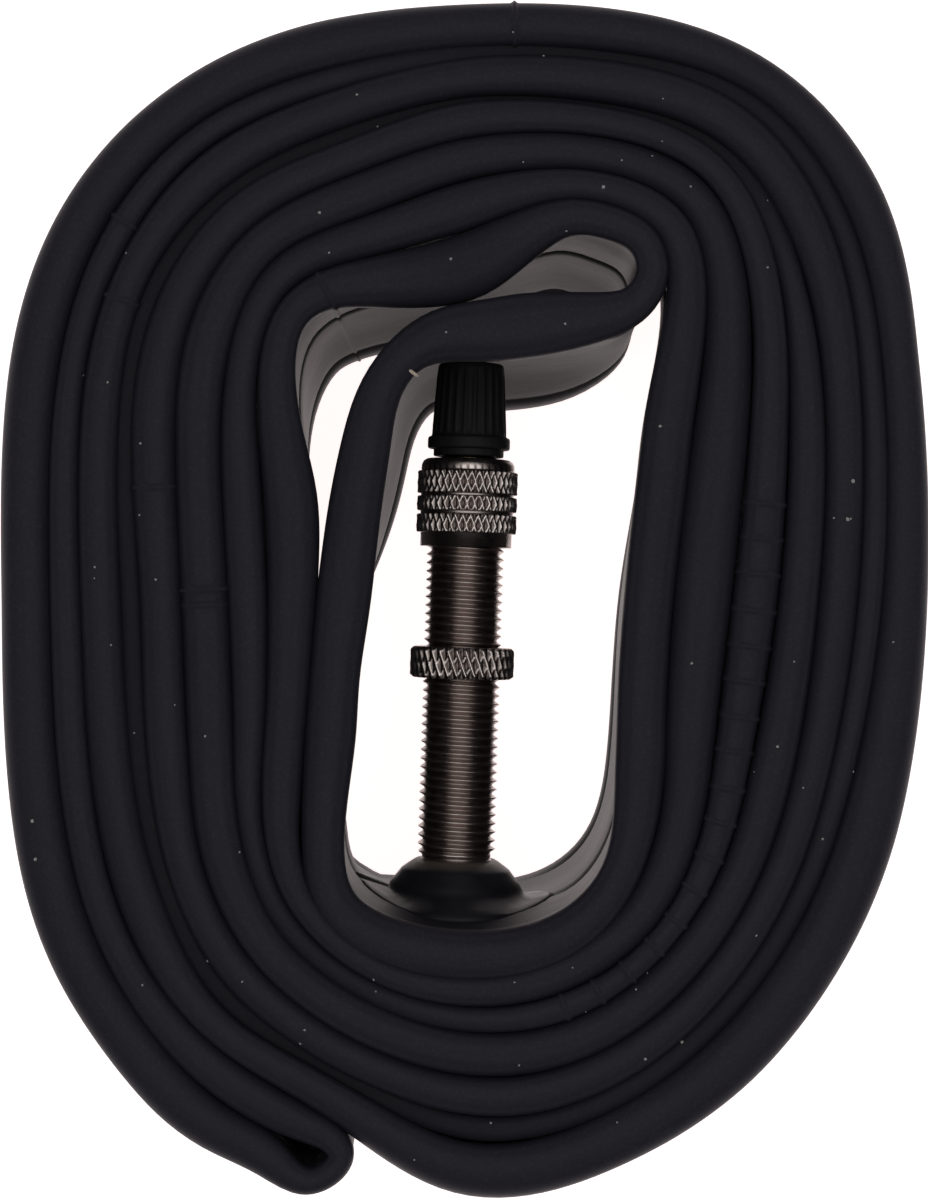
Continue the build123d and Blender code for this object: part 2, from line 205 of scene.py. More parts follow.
class Paint:
    """One material and short calls for its nodes."""

    # the Mix node's sockets for colours, by index
    FACTOR, A, B, RESULT = 0, 6, 7, 2

    def __init__(self, name):
        self.mat = bpy.data.materials.new(name)
        self.mat.use_nodes = True
        self.tree = self.mat.node_tree
        self.bsdf = self.tree.nodes["Principled BSDF"]

    def node(self, kind, **values):
        made = self.tree.nodes.new(kind)
        for key, value in values.items():
            if key in made.inputs:
                made.inputs[key].default_value = value
            else:
                setattr(made, key, value)
        return made

    def link(self, a, b):
        self.tree.links.new(a, b)

    def place(self, stretch=(1, 1, 1)):
        """Object coordinates in mm, stretched."""
        at = self.node("ShaderNodeTexCoord")
        mapping = self.node("ShaderNodeMapping")
        mapping.inputs["Scale"].default_value = [s / MM for s in stretch]
        self.link(at.outputs["Object"], mapping.inputs["Vector"])
        return mapping.outputs["Vector"]

    def along(self, stretch):
        """The strip's own coordinates: distance along it and round it, stretched."""
        at = self.node("ShaderNodeUVMap", uv_map="strip")
        mapping = self.node("ShaderNodeMapping")
        mapping.inputs["Scale"].default_value = stretch
        self.link(at.outputs["UV"], mapping.inputs["Vector"])
        return mapping.outputs["Vector"]

    def noise(self, vector, scale, detail=3.0, rough=0.5):
        made = self.node("ShaderNodeTexNoise", Scale=scale, Detail=detail, Roughness=rough)
        self.link(vector, made.inputs["Vector"])
        return made.outputs["Fac"]

    def ramp(self, value, stops):
        """Colour ramp; stops are (place, grey) or (place, (r, g, b))."""
        made = self.node("ShaderNodeValToRGB")
        elements = made.color_ramp.elements
        while len(elements) < len(stops):
            elements.new(0.5)
        for element, (where, colour) in zip(elements, stops):
            element.position = where
            rgb = colour if isinstance(colour, tuple) else (colour,) * 3
            element.color = (*rgb, 1)
        self.link(value, made.inputs["Fac"])
        return made.outputs["Color"]

    def mix(self, factor, a, b):
        """Colour between a and b; each of the three is a socket or a plain value."""
        made = self.node("ShaderNodeMix", data_type="RGBA")
        for value, key in ((factor, self.FACTOR), (a, self.A), (b, self.B)):
            if isinstance(value, bpy.types.NodeSocket):
                self.link(value, made.inputs[key])
            elif key == self.FACTOR:
                made.inputs[key].default_value = value
            else:
                made.inputs[key].default_value = (*value, 1)
        return made.outputs[self.RESULT]

    def attribute(self, name):
        return self.node("ShaderNodeAttribute", attribute_name=name).outputs["Fac"]

    def bump(self, heights):
        """Bump from (height socket, strength, distance in mm) in turn."""
        normal = None
        for height, strength, distance in heights:
            made = self.node("ShaderNodeBump", Strength=strength, Distance=distance * MM)
            self.link(height, made.inputs["Height"])
            if normal is not None:
                self.link(normal, made.inputs["Normal"])
            normal = made.outputs["Normal"]
        self.link(normal, self.bsdf.inputs["Normal"])

    def finish(self, colour, roughness, metallic=0.0, specular=0.5):
        """Set the shader's inputs, each from a number or a socket, and give the material."""
        for value, key in (
            (colour, "Base Color"),
            (roughness, "Roughness"),
            (metallic, "Metallic"),
            (specular, "Specular IOR Level"),
        ):
            if isinstance(value, bpy.types.NodeSocket):
                self.link(value, self.bsdf.inputs[key])
            else:
                self.bsdf.inputs[key].default_value = value
        return self.mat


def butyl_paint():
    p = Paint("butyl_rubber")
    here = p.place()
    streaks = p.noise(p.along((0.22, 3.0, 1)), 1.0, 4)
    patches = p.noise(here, 0.11, 3)
    grain = p.noise(here, 9.0, 3)
    pores = p.noise(here, 3.2, 4, 0.6)
    plain = p.mix(patches, (0.0165, 0.0153, 0.0212), (0.0210, 0.0194, 0.0262))
    bloom = p.ramp(pores, ((0.5, 0.0), (0.76, 0.4)))
    colour = p.mix(bloom, plain, (0.04, 0.039, 0.046))
    # painted shade: near black where the tube's shade attribute is set, in the mould-line grooves
    # and on the crests of sunk strands
    colour = p.mix(p.attribute("painted_shade"), colour, (0.0015, 0.0015, 0.0018))
    rough = p.ramp(p.mix(0.4, streaks, patches), ((0.25, 0.36), (0.75, 0.50)))
    rough = p.mix(p.attribute("painted_shade"), rough, (0.95, 0.95, 0.95))
    p.bump(((streaks, 0.25, 0.05), (grain, 0.18, 0.02), (pores, 0.12, 0.04)))
    return p.finish(colour, rough, specular=0.10)


def moulded_paint():
    p = Paint("moulded_rubber")
    here = p.place()
    grain = p.noise(here, 6.0, 4)
    patches = p.noise(here, 0.5, 3)
    colour = p.mix(patches, (0.0125, 0.0118, 0.0155), (0.0180, 0.0170, 0.0215))
    # painted sheen: the dome's top is painted light beige where its sheen attribute is set
    colour = p.mix(p.attribute("painted_sheen"), colour, (0.095, 0.077, 0.064))
    rough = p.ramp(patches, ((0.3, 0.34), (0.7, 0.48)))
    p.bump(((grain, 0.2, 0.03),))
    return p.finish(colour, rough, specular=0.22)


def plated_paint(name, crest_highlight, groove_shade, worn):
    """Nickel plate, painted dark in its grooves as shade and light on its crests as highlight,
    finely turned.
    """
    p = Paint(name)
    here = p.place()
    turning = p.noise(p.place((1, 30, 1)), 0.6, 2)
    stain = p.noise(here, 1.1, 4)
    crest = p.attribute("crest")
    colour = p.mix(p.ramp(crest, ((0.05, 0.0), (0.75, 1.0))), groove_shade, crest_highlight)
    colour = p.mix(p.ramp(stain, ((0.5, 0.0), (0.8, 0.5))), colour, worn)
    rough = p.ramp(p.mix(0.5, stain, turning), ((0.3, 0.22), (0.7, 0.42)))
    p.bump(((turning, 0.12, 0.02),))
    return p.finish(colour, rough, metallic=1.0)


def turned_paint(name, light, dark, roughness):
    """Plain turned metal or wire with fine rings."""
    p = Paint(name)
    rings = p.noise(p.place((1, 25, 1)), 0.8, 3)
    stain = p.noise(p.place(), 1.5, 3)
    colour = p.mix(stain, light, dark)
    rough = p.ramp(rings, ((0.3, roughness - 0.08), (0.7, roughness + 0.1)))
    p.bump(((rings, 0.15, 0.02),))
    return p.finish(colour, rough, metallic=1.0)


def plastic_paint():
    p = Paint("cap_plastic")
    here = p.place()
    grain = p.noise(here, 5.0, 4)
    scuffs = p.noise(p.place((1, 0.3, 1)), 2.2, 4)
    worn = p.ramp(scuffs, ((0.5, 0.0), (0.8, 0.5)))
    colour = p.mix(worn, (0.0155, 0.0145, 0.0150), (0.0270, 0.0250, 0.0250))
    rough = p.ramp(scuffs, ((0.3, 0.5), (0.7, 0.66)))
    p.bump(((grain, 0.15, 0.02),))
    return p.finish(colour, rough, specular=0.16)


def seal_paint():
    p = Paint("seal_rubber")
    patches = p.noise(p.place(), 1.2, 3)
    colour = p.mix(patches, (0.2, 0.02, 0.015), (0.3, 0.045, 0.03))
    p.bump(((p.noise(p.place(), 8.0, 3), 0.15, 0.02),))
    return p.finish(colour, 0.5, specular=0.35)


def speck_paint(name, light, dark):
    p = Paint(name)
    grain = p.noise(p.place(), 12.0, 3)
    colour = p.mix(grain, light, dark)
    p.bump(((grain, 0.3, 0.03),))
    return p.finish(colour, 0.8, specular=0.2)


# ---- the tube: its closed line ----


def strand_entry(angle, layer, outward):
    """Plan place, bead middle, half bead width, lower swing and sinking of a wound strand."""
    direction = angle % 360
    first = (direction + 90) / 180 % 1
    if direction in EXTRA_INSIDE:
        first -= 1
    k = round(layer - first)
    turned = radians(direction + ROLL_TURN)
    ray = np.array((cos(turned), sin(turned)))
    centre = np.array((0, ROLL_CY))
    inner, outer = BEAD_RADII[direction][k : k + 2]
    web = centre + STRAND_RADII[direction][k] * ray
    bead = centre + (inner + outer) / 2 * ray
    swing = SWUNG.get((direction, k), 0.0) * outward
    return web, bead, (outer - inner) / 2 * ray, swing, SUNK.get((direction, k), 0.0)


def wound(start, stop, first_layer, outward):
    """Points of a run; outward is 1 where the tube's left side faces out of the roll, or -1."""
    step = 15 if stop > start else -15
    angles = [a for a in range(start, stop + step, step) if a % 360 in STRAND_RADII]
    return [strand_entry(a, first_layer + (a - start) / 180, outward) for a in angles], angles


def free_run(entries):
    return [(np.array(web), np.array(bead), half, swing, 0.0) for web, bead, half, swing in entries]


# the closed ring: the valve's seat, out of the roll, the far fold and back in over the cap
right, right_angles = wound(-60, 1320, 1 / 6, -1)
left, left_angles = wound(75, 1320, -1 / 12, 1)
inner_left, _ = wound(-180, -120, -1 / 2, -1)
seat = free_run(VALVE_SEAT)
over = free_run(OVER_THE_CAP)[::-1]
entries = seat[-1:] + right + free_run(FAR_FOLD) + left[::-1] + over + inner_left + seat[:-1]
right_at = 1
left_at = 1 + len(right) + len(FAR_FOLD)
over_at = left_at + len(left)


def closed_spline(knots, points):
    """Second derivatives of the natural periodic cubic through the points."""
    n = len(points)
    h = np.diff(knots)
    matrix, side = np.zeros((n, n)), np.zeros((n, points.shape[1]))
    for i in range(n):
        before, after = h[i - 1], h[i]
        matrix[i, i - 1] += before
        matrix[i, i] += 2 * (before + after)
        matrix[i, (i + 1) % n] += after
        rise = (points[(i + 1) % n] - points[i]) / after - (points[i] - points[i - 1]) / before
        side[i] = 6 * rise
    return np.linalg.solve(matrix, side)


def spline_at(knots, points, bend, where):
    """Points of the periodic cubic at the parameters in where."""
    i = np.clip(np.searchsorted(knots, where, side="right") - 1, 0, len(points) - 1)
    j = (i + 1) % len(points)
    h = (knots[i + 1] - knots[i])[:, None]
    a = (knots[i + 1][:, None] - where[:, None]) / h
    b = 1 - a
    curved = (a**3 - a) * bend[i] + (b**3 - b) * bend[j]
    return a * points[i] + b * points[j] + curved * h * h / 6


web_points = np.array([e[0] for e in entries])
gaps = np.linalg.norm(np.roll(web_points, -1, 0) - web_points, axis=1)
CHORD_POWER = 0.75  # between even and chord length knots
FINE_COUNT = 60001
knots = np.concatenate(([0], np.cumsum(gaps**CHORD_POWER)))
bend = closed_spline(knots, web_points)

fine = np.linspace(0, knots[-1], FINE_COUNT)
line = spline_at(knots, web_points, bend, fine)
arc = np.concatenate(([0], np.cumsum(np.linalg.norm(np.diff(line, axis=0), axis=1))))
length = arc[-1]
knot_arc = np.interp(knots[:-1], fine, arc)


def at_angle(strand, angle):
    """Distance along the tube where a wound strand has that running angle."""
    if strand == "right":
        return np.interp(angle, right_angles, knot_arc[right_at : right_at + len(right)])
    return np.interp(angle, left_angles, knot_arc[left_at : left_at + len(left)][::-1])


def periodic_blur(values, steps):
    """Gaussian blur of evenly spaced values round the ring."""
    reach = int(3 * steps) + 1
    kernel = np.exp(-0.5 * (np.arange(-reach, reach + 1) / steps) ** 2)
    kernel /= kernel.sum()
    return np.convolve(np.concatenate((values[-reach:], values, values[:reach])), kernel, "valid")


# even stations carry the curvature and the slowly changing sizes
EVEN_STEP = 0.5
count = int(length / EVEN_STEP)
even = np.arange(count) * length / count
even_at = np.interp(even, arc, fine)
even_line = spline_at(knots, web_points, bend, even_at)
ahead = np.roll(even_line, -1, 0) - np.roll(even_line, 1, 0)
heading = np.unwrap(np.arctan2(ahead[:, 1], ahead[:, 0]))
turn = (np.roll(heading, -1) - np.roll(heading, 1) + pi) % (2 * pi) - pi
curvature = periodic_blur(turn, 1.5) / (2 * length / count)
knot_heading = np.interp(knot_arc, even, heading)
leans = [
    float((e[1] - e[0]) @ np.array((-sin(t), cos(t)))) for e, t in zip(entries, knot_heading)
]


def carried(values, blur=4.0):
    """A size given at the points, on the even stations."""
    wide = np.concatenate(([0], knot_arc[1:], [length]))
    return periodic_blur(np.interp(even, wide, list(values) + [values[0]]), blur)


def wander(scale, blur):
    """Smooth random drift round the ring."""
    raw = periodic_blur(rng.normal(size=count), blur)
    return raw / raw.std() * scale


lean = carried(leans)
halves = [
    abs(float(e[2] @ np.array((-sin(t), cos(t))))) if np.ndim(e[2]) else e[2]
    for e, t in zip(entries, knot_heading)
]
FULLER, THINNEST = 1.045, 1.2  # the beads press on each other
half = np.maximum(carried(halves) * FULLER + wander(0.05, 25), THINNEST)
swing = carried([e[3] for e in entries], 8.0)
bulges = [0.0] * len(entries)
for (run, angle), amount in PRESSED.items():
    if run == "left":
        bulges[over_at - 1 - left_angles.index(angle)] = amount
    else:
        bulges[right_at + right_angles.index(angle)] = amount
bulge = carried(bulges, 6.0)
sink = carried([e[4] for e in entries], 8.0) + np.abs(wander(0.16, 30))
back_sink = np.abs(wander(0.25, 30))

# half the width of the lower bead: the room that the other strands leave, and thin by the window
FLAT_HALF, BACK_LEAST, BACK_MOST = 1.1, 1.15, 2.1
SAME_STRAND = 3  # points this near along the ring don't count as another strand
by_window = {0, *range(right_at, right_at + right_angles.index(60) + 1)}
by_window |= set(range(over_at - 1 - left_angles.index(240), len(entries)))
room = []
for i, e in enumerate(entries):
    away = np.linalg.norm(web_points - e[0], axis=1)
    apart = np.abs(np.arange(len(entries)) - i)
    free = away[np.minimum(apart, len(entries) - apart) > SAME_STRAND].min() / 2
    room.append(FLAT_HALF if i in by_window else min(max(free, BACK_LEAST), BACK_MOST))
back_half = carried(room)

# ---- the tube: stations ----
cross_ribs = []
rib_from, rib_to = at_angle("right", ROW_FROM), at_angle("right", ROW_TO)
for k in range(int((rib_to - rib_from) / ROW_GAP)):
    cross_ribs.append((rib_from + k * ROW_GAP + rng.uniform(-0.12, 0.12), ROW_HEIGHT, False))
for strand, angle, height, whole in SINGLE_RIBS:
    cross_ribs.append((at_angle(strand, angle), height, whole))

LONGEST, SHORTEST, TURN_STEP = 1.15, 0.22, 0.13  # mm, mm and radians from one station to the next
RIB_STATIONS = (-0.5, -0.3, -0.17, 0.0, 0.17, 0.3, 0.5)
RIB_CLEAR, TOO_NEAR = 0.62, 0.04
wanted = [0.0]
while wanted[-1] < length:
    tightness = abs(float(np.interp(wanted[-1], even, curvature)))
    wanted.append(wanted[-1] + min(LONGEST, max(SHORTEST, TURN_STEP / max(tightness, 1e-3))))
stations = set(np.array(wanted[:-2]).round(3))
for middle, _, _ in cross_ribs:
    stations = {s for s in stations if abs(s - middle) > RIB_CLEAR}
    stations |= {round(float(middle + d), 3) for d in RIB_STATIONS}
stations = np.array(sorted(stations))
stations = stations[np.concatenate(([True], np.diff(stations) > TOO_NEAR))]
rows = len(stations)


def on_stations(values):
    """Values of the even stations, on the mesh's own stations."""
    return np.interp(stations, np.append(even, length), np.append(values, values[0]))


centre = spline_at(knots, web_points, bend, np.interp(stations, arc, fine))
angle = np.interp(stations, even, heading)
side = np.stack((-np.sin(angle), np.cos(angle)), 1)
bow = on_stations(curvature)
s_lean, s_half, s_swing = on_stations(lean), on_stations(half), on_stations(swing)
s_back = on_stations(back_half)
s_top = TUBE_WIDTH - 0.1 - on_stations(sink)
# painted shade: the crests of sunk strands are darkened, as they lie in shade between their
# neighbours
sunk_shade = 0.45 * np.clip((on_stations(sink) - 0.4) / 1.2, 0, 1)  # sunk edges look darker
s_low = on_stations(back_sink) * 0.3
STRIP_SWING = 1.25  # the strip's points that swing further than this lie over the cap
on_strip = [
    float(over_at <= i < over_at + len(over) and e[3] > STRIP_SWING) for i, e in enumerate(entries)
]
over_cap = smooth(np.clip(on_stations(carried(on_strip, 8.0)), 0, 1))

# ---- the tube: section, down the left side and up the right ----
PAD_RISE, PAD_WIDE, PAD_TALL = 1.7, 9.5, 8.5  # the wall stands proud round the valve's base
SEAT_AFTER, SEAT_BEFORE = 16, 26  # the valve's seat, either side of the ring's first point
PLAIN_WIDE = 12.0  # no mould lines nearer than this to the valve
SWING_TOP = 17.0  # the wall swings below this height
by_seat = (stations < SEAT_AFTER) | (stations > length - SEAT_BEFORE)
pad = np.exp(-((centre[:, 0] / PAD_WIDE) ** 4)) * by_seat
plain = np.exp(-((centre[:, 0] / PLAIN_WIDE) ** 6)) * by_seat
CAP_STEPS, SQUARE = 9, 2.35
CAP_CURVE = []  # a bead's quarter section from its crest: across and down, as shares
for k in range(1, CAP_STEPS + 1):
    t = k / CAP_STEPS * pi / 2
    CAP_CURVE.append((sin(t) ** (2 / SQUARE), 1 - cos(t) ** (2 / SQUARE)))
NECKS = (0.5, 1.1, 1.9, 2.9, 4.2, 5.8)
LINE_STEPS = (1.9, 1.3, 0.8, 0.4, 0.0, -0.4, -0.8, -1.3, -1.9)
MID_LINE, RAISED_LINE, LOW_LINE = 21.0, 6.5, 3.9
MID_WIDTH, FINER, LOW_WIDTH = 1.05, 0.7, 0.85
LINE_DEPTH = 0.3


def side_profile(way):
    """Heights, half widths and painted shade on one side (way 1 left, -1 right), top to bottom."""
    bend_room = 0.86 / np.maximum(np.abs(bow), 1e-6) - way * s_lean  # to a bend's inner side
    limit = np.maximum(np.where(way * bow > 0, bend_room, 9.0), 0.5)
    upper, lower = np.minimum(s_half, limit), np.minimum(s_back, limit)
    deep = np.clip(s_half * 0.9, 1.2, 2.1)
    low_deep = np.clip(s_back * 0.98, 1.25, 2.0)
    web = np.minimum(WEB_HALF, limit)
    heights, widths, painted_shades = [], [], []

    def put(z, w, painted_shade=0.0):
        for column, value in ((heights, z), (widths, w), (painted_shades, painted_shade)):
            column.append(np.zeros(rows) + value)

    def flared(wide, drop, reach):
        """Half width that goes from a bead's to the web's over a drop."""
        return web + (wide - web) * np.exp(-((drop / reach) ** 2))

    def groove(z, flank, width):
        """Rows of one mould line, with painted shade in its groove."""
        for d in LINE_STEPS:
            # near sets both the groove's depth and its painted shade
            near = np.exp(-((d / width) ** 2)) * (1 - plain * (way > 0))
            put(z + d, flank(z + d) - LINE_DEPTH * near, near)

    for across, down in CAP_CURVE:
        put(s_top - deep * down, upper * across, sunk_shade)
    for d in NECKS:
        put(s_top - deep - d, flared(upper, d, 2.7))
    raised = over_cap * (way > 0)
    line_z = MID_LINE + RAISED_LINE * raised
    for f in (0.25, 0.5, 0.75):
        put((1 - f) * (s_top - deep - NECKS[-1]) + f * (line_z + LINE_STEPS[0]), web)
    groove(line_z, lambda z: web, MID_WIDTH - FINER * raised)
    put(15.0, web)
    put(10.0, web)

    def low_flank(z):
        return flared(lower, z - low_deep, 2.4)

    for z in (7.8, 6.4):
        put(z, low_flank(z))
    groove(LOW_LINE, low_flank, LOW_WIDTH)
    for across, down in CAP_CURVE[::-1]:
        put(s_low + low_deep * down, lower * across)
    return np.array(heights), np.array(widths), np.array(painted_shades)


def rib_swell(z):
    """How far the cross ribs stand out at height z of each station."""
    swell = np.zeros_like(z)
    for middle, height, whole in cross_ribs:
        shape = height * np.exp(-(((stations - middle) / 0.2) ** 2))
        swell += shape[None, :] * (1.0 if whole else smooth((z - 30) / 4))
    return swell


z_left, w_left, shade_left = side_profile(1)
z_right, w_right, shade_right = side_profile(-1)
w_left, w_right = w_left + rib_swell(z_left), w_right + rib_swell(z_right)
top_rib = rib_swell(s_top[None, :])[0]
zs = np.concatenate(((s_top + top_rib)[None], z_left, s_low[None], z_right[::-1]))
offsets = np.concatenate((np.zeros((1, rows)), w_left, np.zeros((1, rows)), -w_right[::-1]))
painted_shades = np.concatenate((sunk_shade[None], shade_left, np.zeros((1, rows)), shade_right[::-1]))
cap_zone = np.exp(-(((zs - s_top) / 3.0) ** 2)) * (zs < s_top)
zs = zs + 0.8 * top_rib * cap_zone
offsets[1 : len(z_left) + 1] += PAD_RISE * pad * np.exp(-(((z_left - VALVE_Z) / PAD_TALL) ** 2))
slant = s_lean * smooth((zs - 29.0) / 9.0) + s_swing * smooth((SWING_TOP - zs) / SWING_TOP)
slant += s_lean * 0.6 * (1 - smooth(np.abs(s_swing) / 0.6)) * smooth((11.0 - zs) / 9.0)
slant -= on_stations(bulge) * np.exp(-(((zs - 31.5) / 4.6) ** 2))
offsets = offsets + slant
cols = len(zs)
xy = centre[None] + offsets[:, :, None] * side[None]
points = np.concatenate((xy, zs[:, :, None]), 2).transpose(1, 0, 2).reshape(-1, 3)
faces = ring_faces(rows, cols, True)
tube = add_mesh("tube_skin", points, [f[::-1] for f in faces])
add_attribute(tube, "painted_shade", painted_shades.T.reshape(-1))

# strip coordinates in mm for the streaks: along the tube, and round its section
around = np.concatenate(([0], np.cumsum(np.hypot(np.diff(zs[:, 0]), np.diff(offsets[:, 0])))))
uv = tube.data.uv_layers.new(name="strip")
loop_vertex = np.zeros(len(tube.data.loops), int)
tube.data.loops.foreach_get("vertex_index", loop_vertex)
uv_values = np.stack((stations[loop_vertex // cols], around[loop_vertex % cols]), 1)
uv.data.foreach_set("uv", uv_values.ravel())
tube.data.materials.append(butyl_paint())
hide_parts("butyl_tube")
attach(tube, "roll")

# ---- turned valve parts ----


def eased(outline, reach, closed=True):
    """Outline with each corner cut to a small three point round."""
    points = [np.array(p, float) for p in outline]
    made = []
    for i, p in enumerate(points):
        if not closed and i in (0, len(points) - 1):
            made.append(p)
            continue
        a, b = points[i - 1], points[(i + 1) % len(points)]
        to_a, to_b = a - p, b - p
        la, lb = np.hypot(*to_a), np.hypot(*to_b)
        r = min(reach, 0.4 * la, 0.4 * lb)
        start, end = p + to_a / la * r, p + to_b / lb * r
        made += [start, (start + end) / 4 + p / 2, end]
    return made


def filled(outline, step, lo, hi, closed=True):
    """Outline with rows added between stations lo and hi wherever a run is longer than step."""
    made = []
    count = len(outline)
    for i, p in enumerate(outline):
        made.append(p)
        if i + 1 == count and not closed:
            break
        q = outline[(i + 1) % count]
        if min(p[1], q[1]) >= lo - 1e-6 and max(p[1], q[1]) <= hi + 1e-6:
            parts = int(np.hypot(*(np.array(q) - p)) / step) + 1
            made += [p + (np.array(q) - p) * k / parts for k in range(1, parts)]
    return made


POLE_CREST = 0.6


def turned(name, outline, segments, relief, closed=True):
    """Solid of revolution about the valve's axis from (radius, station) points. relief(turns, r, v)
    gives the change of radius and the crest value of a ring. An open outline ends on the axis."""
    rings, crests, poles = [], [], []
    turns = np.arange(segments) / segments
    for r, v in outline:
        if r < 1e-6:
            poles.append(v)
            continue
        change, crest = relief(turns, r, v)
        radius = r + change + 0 * turns
        x, z = radius * np.cos(2 * pi * turns), VALVE_Z + radius * np.sin(2 * pi * turns)
        rings.append(np.stack((x, VALVE_Y + v + 0 * turns, z), 1))
        crests.append(crest + 0 * turns)
    points = np.concatenate(rings)
    faces = ring_faces(len(rings), segments, closed)
    crest_values = np.concatenate(crests)
    if not closed:
        last = (len(rings) - 1) * segments
        for pole, base, flip in zip(poles, (0, last), (True, False)):
            tip = len(points)
            points = np.vstack((points, (0, VALVE_Y + pole, VALVE_Z)))
            crest_values = np.append(crest_values, POLE_CREST)
            for j in range(segments):
                k = (j + 1) % segments
                faces.append((base + k, base + j, tip) if flip else (base + j, base + k, tip))
    obj = add_mesh(name, points, faces)
    # the crest values steer the painted highlight and shade of the plated parts
    add_attribute(obj, "crest", crest_values)
    return obj


def wave(x):
    """Triangle wave, 0 at whole numbers and 1 half way between them."""
    return 1 - np.abs((x % 1) * 2 - 1)


# stem
STEM_R, THREAD_DEPTH, THREAD_PITCH, STEM_TOP = 3.9, 0.5, 0.847, 37.0
ROOT_R = STEM_R - THREAD_DEPTH
THREAD_LO, THREAD_HI = 0.35, 36.75


def screw(lo, hi, pitch, depth, fade):
    """Relief of a pointed helical thread with an open root."""

    def relief(turns, v):
        ends = float(smooth((v - lo) / fade) * smooth((hi - v) / fade))
        crest = np.clip(1 - np.abs(((v / pitch - turns) % 1) * 2 - 1) / 0.86, 0, 1) ** 1.15
        return depth * crest * ends, crest

    return relief


stem_outer = [
    (5.2, -3.5), (5.2, -2.5), (3.5, -2.5), (3.5, 0.0), (3.6, 0.05), (3.6, 0.15), (ROOT_R, 0.3),
    (ROOT_R, THREAD_LO), (ROOT_R, THREAD_HI), (ROOT_R, STEM_TOP),
]  # fmt: skip
stem_inner = [(2.8, STEM_TOP), (2.8, 21.0), (1.5, 19.5), (1.5, -3.5)]
thread = screw(THREAD_LO, THREAD_HI, THREAD_PITCH, THREAD_DEPTH, 0.7)


def stem_relief(turns, r, v):
    if abs(r - ROOT_R) > 0.02:
        return 0.0, 0.75
    return thread(turns, v) if THREAD_LO <= v <= THREAD_HI else (0.0, 0.5)


thread_rows = filled(stem_outer[7:9], 0.077, THREAD_LO, THREAD_HI, closed=False)
stem_outline = eased(stem_outer[:7], 0.12, closed=False) + thread_rows + stem_outer[9:] + stem_inner
stem = turned("stem_barrel", stem_outline, 72, stem_relief)
# painted highlight on the thread's crests, painted shade in its roots
stem.data.materials.append(
    plated_paint("stem_nickel", (0.50, 0.43, 0.40), (0.24, 0.195, 0.18), (0.24, 0.19, 0.17))
)
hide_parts("valve_stem")
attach(stem, "roll")


def knurl(radius, teeth, rise, depth, weak, floor):
    """Relief of a knurl above radius floor: two families of slanting ridges, one weaker."""

    def relief(turns, r, v):
        if r < floor - 1e-6:
            return 0.0, 0.35
        share = min(1.0, (r - floor) / (radius - floor))
        a = np.clip(wave(turns * teeth + v / rise) * 1.5 - 0.5, 0, 1) * weak
        b = np.clip(wave(turns * teeth - v / rise) * 1.5 - 0.5, 0, 1)
        height = np.maximum(a, b) + 0.15 * np.minimum(a, b)
        return -share * depth * (1 - height), np.clip(height * 1.3 - 0.2, 0, 1)

    return relief


# rim nut
RIM_LO, RIM_HI, RIM_R, RIM_TEETH = 18.2, 21.3, 5.2, 36
NUT_BORE = STEM_R + 0.05
rim_outline = eased(
    [(NUT_BORE, RIM_LO), (RIM_R - 0.35, RIM_LO), (RIM_R, RIM_LO + 0.3), (RIM_R, RIM_HI - 0.3),
     (RIM_R - 0.35, RIM_HI), (NUT_BORE, RIM_HI)], 0.06,
)  # fmt: skip
rim_outline = filled(rim_outline, 0.09, RIM_LO + 0.2, RIM_HI - 0.2)
rim_nut = turned(
    "rim_ring", rim_outline, RIM_TEETH * 9, knurl(RIM_R, RIM_TEETH, 2.3, 0.34, 0.6, RIM_R - 0.4)
)
# painted highlight on the knurls' crests, painted shade in their grooves
nut_paint = plated_paint(
    "nut_nickel", (0.66, 0.58, 0.54), (0.12, 0.098, 0.09), (0.28, 0.22, 0.20)
)
rim_nut.data.materials.append(nut_paint)
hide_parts("rim_nut")
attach(rim_nut, "rim_nut")

# union nut
UNION_LO, UNION_HI, UNION_R, GROOVE_R, UNION_TEETH = 31.3, 40.0, 5.0, 4.62, 40
BANDS = ((32.65, 34.5), (34.8, 36.3), (36.54, 38.8))
union_outer = [(NUT_BORE, UNION_LO), (4.55, UNION_LO), (4.55, BANDS[0][0] - 0.02)]
for lo, hi in BANDS:
    union_outer += [(GROOVE_R, lo), (UNION_R - 0.07, lo + 0.03), (UNION_R, lo + 0.16)]
    union_outer += [(UNION_R, hi - 0.16), (UNION_R - 0.07, hi - 0.03), (GROOVE_R, hi)]
union_outer += [(4.66, 39.0), (4.62, 39.45), (4.45, 39.8), (4.15, UNION_HI)]
union_outer += [(2.65, UNION_HI), (2.65, 38.25), (NUT_BORE, 38.25)]
union_outline = filled([np.array(p) for p in union_outer], 0.1, BANDS[0][0], BANDS[-1][1])
union_nut = turned(
    "union_sleeve", union_outline, UNION_TEETH * 9,
    knurl(UNION_R, UNION_TEETH, 2.15, 0.3, 0.92, GROOVE_R + 0.02),
)  # fmt: skip
union_nut.data.materials.append(nut_paint)
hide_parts("union_nut")
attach(union_nut, "union_nut")

# dust cap
CAP_RIBS = 24


def cap_relief(turns, r, v):
    if not 42.25 < v < 49.0 or r < 3.0:
        return 0.0, 0.5
    fade = float(smooth((v - 42.3) / 0.5) * smooth((48.9 - v) / 0.7))
    rib = np.clip(wave(turns * CAP_RIBS) * 2.2 - 0.75, 0, 1)
    return (rib - 0.6) * 0.13 * fade, rib


